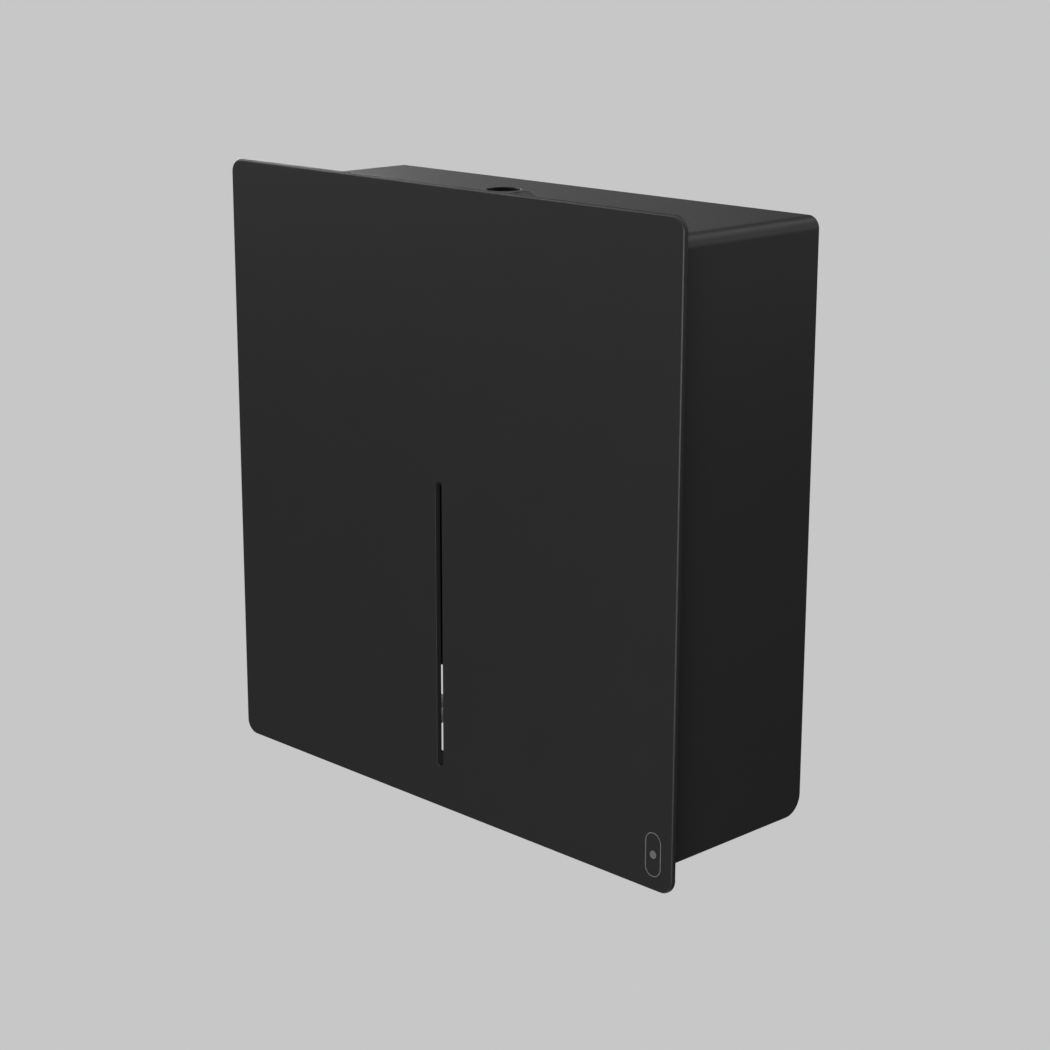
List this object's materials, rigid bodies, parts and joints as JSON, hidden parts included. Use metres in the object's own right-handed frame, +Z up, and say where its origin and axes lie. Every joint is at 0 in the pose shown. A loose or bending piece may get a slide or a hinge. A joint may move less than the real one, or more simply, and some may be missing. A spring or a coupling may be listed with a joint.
{
  "type": "wall mounted paper roll dispenser",
  "caption": "Square wall-mounted cabinet for a jumbo paper roll, with a slotted front plate on a tip-down cover, a turning roll hub, two tear blades and a key lock in the top.",
  "frame": {"origin": "on the wall, at the centre of the four mounting holes in the wall plate's rear face", "axes": "+Z up, +Y into the wall so that the front plate faces -Y, +X to the right of someone facing the front"},
  "size_m": [0.32, 0.1081, 0.32],
  "materials": {
    "black_coat": "fine matt black powder coat",
    "chassis_coat": "matt black powder coat",
    "zinc_steel": "bright zinc plate",
    "bare_blade_steel": "bare rolled stainless steel",
    "black_plastic": "fine spark-eroded texture",
    "natural_nylon": "natural moulded nylon",
    "rubber": "matt",
    "felt": "pressed grey felt",
    "lock_metal": "dark cast zinc",
    "emblem_grey": "grey printed enamel"
  },
  "bodies": {
    "chassis": {"wall_plate": "chassis_coat", "left_cheek": "chassis_coat", "right_cheek": "chassis_coat", "cheek_rivets": "zinc_steel", "outlet_tray": "chassis_coat", "tray_rivets": "zinc_steel", "tear_blade_left": "bare_blade_steel", "tear_blade_right": "bare_blade_steel", "blade_rivets": "zinc_steel", "hinge_bushes": "natural_nylon", "stop_pins": "zinc_steel", "keeper": "zinc_steel", "keeper_rivets": "zinc_steel", "roll_post": "zinc_steel", "post_rivets": "zinc_steel", "backing_disc": "black_plastic", "felt_brake_ring": "felt", "post_washer": "zinc_steel", "post_screw": "zinc_steel"},
    "hub": {"roll_hub": "black_plastic", "hub_bushes": "natural_nylon", "hub_cap": "black_plastic"},
    "cover": {"front_plate": "black_coat", "cover_shell": "black_coat", "weld_studs": "zinc_steel", "flange_washers": "zinc_steel", "flange_nuts": "zinc_steel", "lower_stiffener": "black_coat", "hinge_pins": "zinc_steel", "hinge_washers": "natural_nylon", "hinge_clips": "zinc_steel", "stop_lugs": "black_coat", "closing_bumpers": "rubber", "lock_housing": "black_plastic", "lock_studs": "zinc_steel", "lock_nuts": "zinc_steel", "emblem": "emblem_grey"},
    "lock": {"lock_plug": "lock_metal", "lock_washer": "zinc_steel", "lock_cam": "zinc_steel", "cam_screw": "zinc_steel"}
  },
  "joints": [
    {"name": "cover_tip", "type": "hinge", "parent": "chassis", "child": "cover", "pos_m": [0, -0.011, -0.1398], "axis": [1, 0, 0], "range_deg": [0, 80]},
    {"name": "hub_spin", "type": "hinge", "parent": "chassis", "child": "hub", "pos_m": [0, -0.047, 0], "axis": [0, -1, 0], "continuous": true},
    {"name": "lock_turn", "type": "hinge", "parent": "cover", "child": "lock", "pos_m": [-0.0266, -0.037, 0.139], "axis": [0, 0, -1], "range_deg": [0, 90]}
  ]
}
